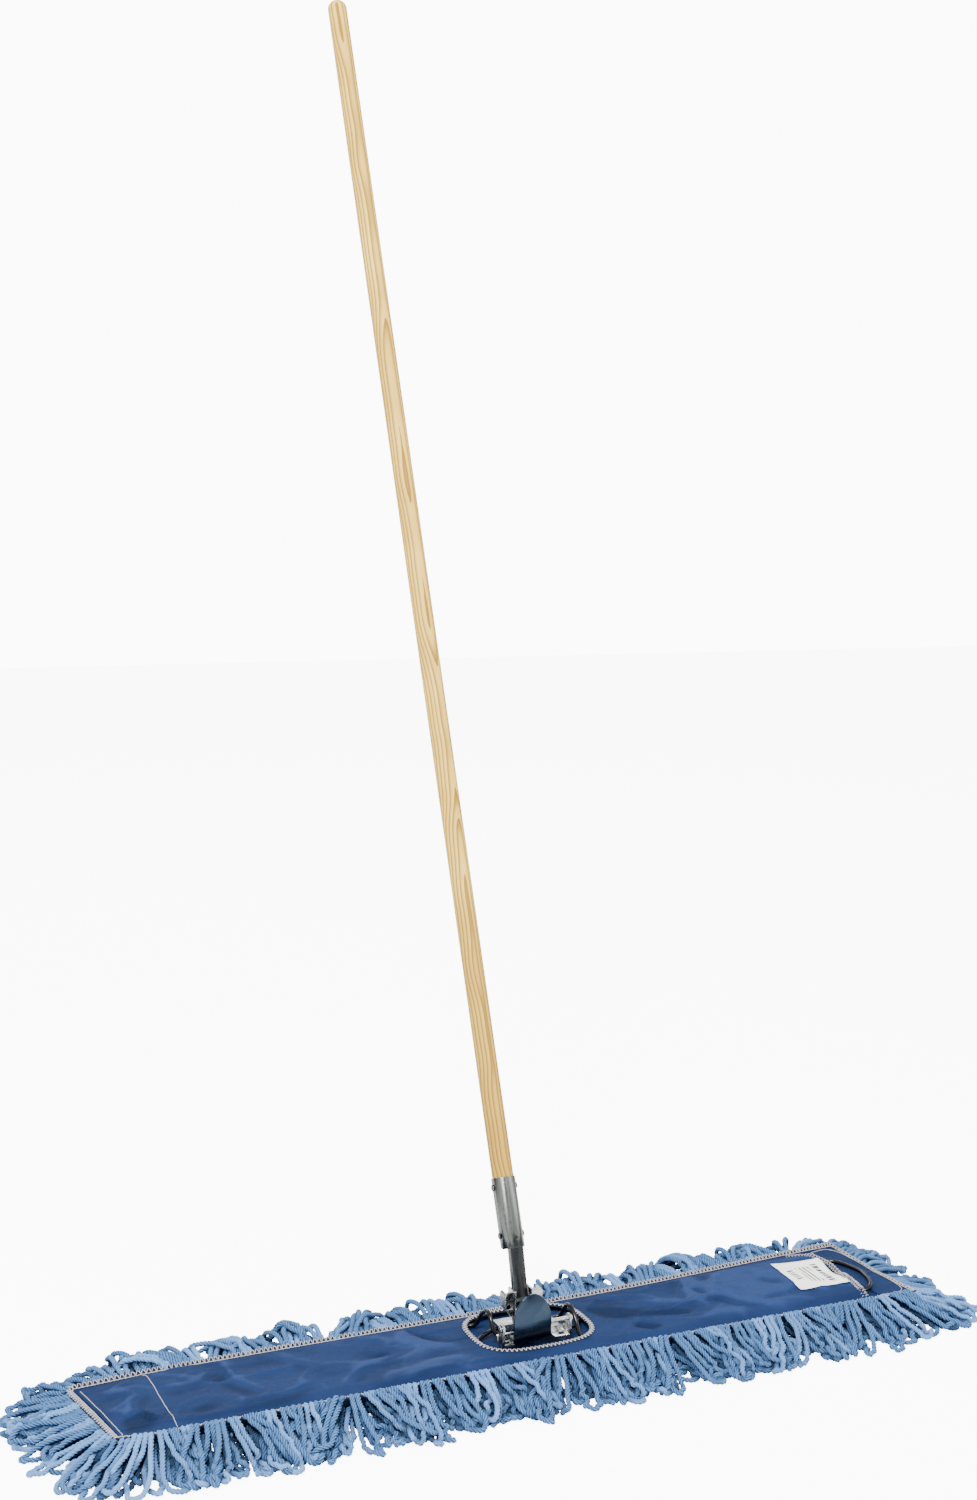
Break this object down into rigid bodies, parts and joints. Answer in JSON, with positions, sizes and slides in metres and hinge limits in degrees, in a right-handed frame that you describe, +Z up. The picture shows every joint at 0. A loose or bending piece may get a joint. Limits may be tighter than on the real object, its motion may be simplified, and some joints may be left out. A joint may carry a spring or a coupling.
{
  "type": "flat mop",
  "caption": "Looped-yarn dust mop head with a sewn pocket over a rigid wire frame, a clip-on swivel and tilt head with a spring lever, and a straight wooden pole.",
  "frame": {"origin": "on the floor, under the swivel axis", "axes": "+Z up along the swivel axis, +X along the mop head towards the slot end, -Y towards the foot lever"},
  "size_m": [1.1016, 0.7661, 1.5318],
  "materials": {
    "yarn": "matte looped yarn",
    "navy_cloth": "woven polyester, slight sheen",
    "label_cloth": "matte woven label",
    "thread": "matte thread",
    "black_wire": "black powder coat",
    "zinc": "bright zinc plated sheet steel",
    "galvanised": "galvanised steel",
    "spring_steel": "dark spring steel",
    "pine": "clear lacquered pine"
  },
  "bodies": {
    "mop_head": {"yarn_pile": "yarn", "yarn_fringe_front": "yarn", "yarn_fringe_rear": "yarn", "yarn_fringe_left": "yarn", "yarn_fringe_right": "yarn", "base_cloth": "navy_cloth", "pocket_cover": "navy_cloth", "end_flap": "navy_cloth", "care_label": "label_cloth", "edge_stitching": "thread", "opening_stitching": "thread", "slot_stitching": "thread", "cross_seam": "thread", "frame_wire": "black_wire", "clip_base": "zinc", "lever_pin": "zinc", "lever_spring": "spring_steel", "swivel_bushing": "galvanised", "swivel_washer": "zinc", "swivel_rivet": "galvanised"},
    "lever": {"clip_lever": "zinc"},
    "yoke": {"swivel_yoke": "zinc", "tilt_pin": "galvanised", "tilt_washer_left": "zinc", "tilt_washer_right": "zinc"},
    "handle": {"ferrule": "galvanised", "ferrule_rivet_upper": "galvanised", "ferrule_rivet_lower": "galvanised", "handle_pole": "pine"}
  },
  "joints": [
    {"name": "lever_hinge", "type": "hinge", "parent": "mop_head", "child": "lever", "pos_m": [0, -0.028, 0.052], "axis": [-1, 0, 0], "range_deg": [0, 9], "stiffness_Nm_per_rad": 1.5, "springref_deg": -5.73},
    {"name": "swivel", "type": "hinge", "parent": "mop_head", "child": "yoke", "pos_m": [0, 0, 0.055], "axis": [0, 0, 1], "continuous": true},
    {"name": "tilt", "type": "hinge", "parent": "yoke", "child": "handle", "pos_m": [0, 0, 0.066], "axis": [1, 0, 0], "range_deg": [-22, 55]}
  ]
}
